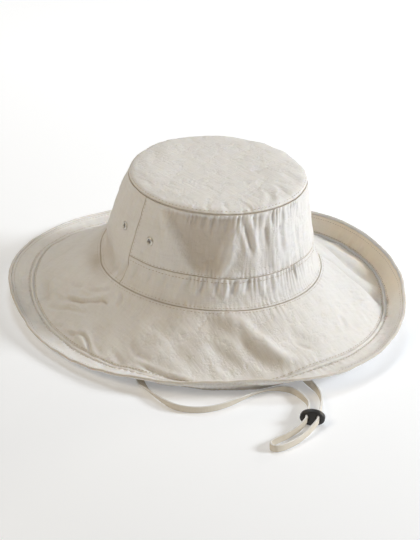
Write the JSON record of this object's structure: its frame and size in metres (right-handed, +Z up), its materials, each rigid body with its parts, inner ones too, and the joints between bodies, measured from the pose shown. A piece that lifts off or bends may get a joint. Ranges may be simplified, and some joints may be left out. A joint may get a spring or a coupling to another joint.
{
  "type": "outback hat",
  "caption": "Wide-brimmed cotton sun hat with a tapered flat-topped crown, a stitched brim whose border turns up, side eyelets and a tape chin cord with a toggle.",
  "frame": {"origin": "centre of the hat's bounding box without its cord, on the surface that the brim rests on", "axes": "-Y is the hat's front, +X its left side, +Z up along the crown"},
  "size_m": [0.3064, 0.3881, 0.1232],
  "materials": {
    "hat_cloth": "natural cotton canvas, plain weave, matte",
    "eyelet_metal": "dull nickel eyelet, satin",
    "cord_tape": "flat woven cotton tape, matte",
    "toggle_plastic": "black moulded plastic, satin"
  },
  "bodies": {
    "root": {"crown_tip": "hat_cloth", "crown_back_panel": "hat_cloth", "crown_front_panel": "hat_cloth", "crown_band": "hat_cloth", "eyelet_1": "eyelet_metal", "eyelet_2": "eyelet_metal", "eyelet_3": "eyelet_metal", "eyelet_4": "eyelet_metal", "brim_panel": "hat_cloth", "brim_ridge": "hat_cloth", "brim_border": "hat_cloth", "brim_binding": "hat_cloth", "chin_cord": "cord_tape", "cord_toggle": "toggle_plastic"}
  },
  "joints": []
}
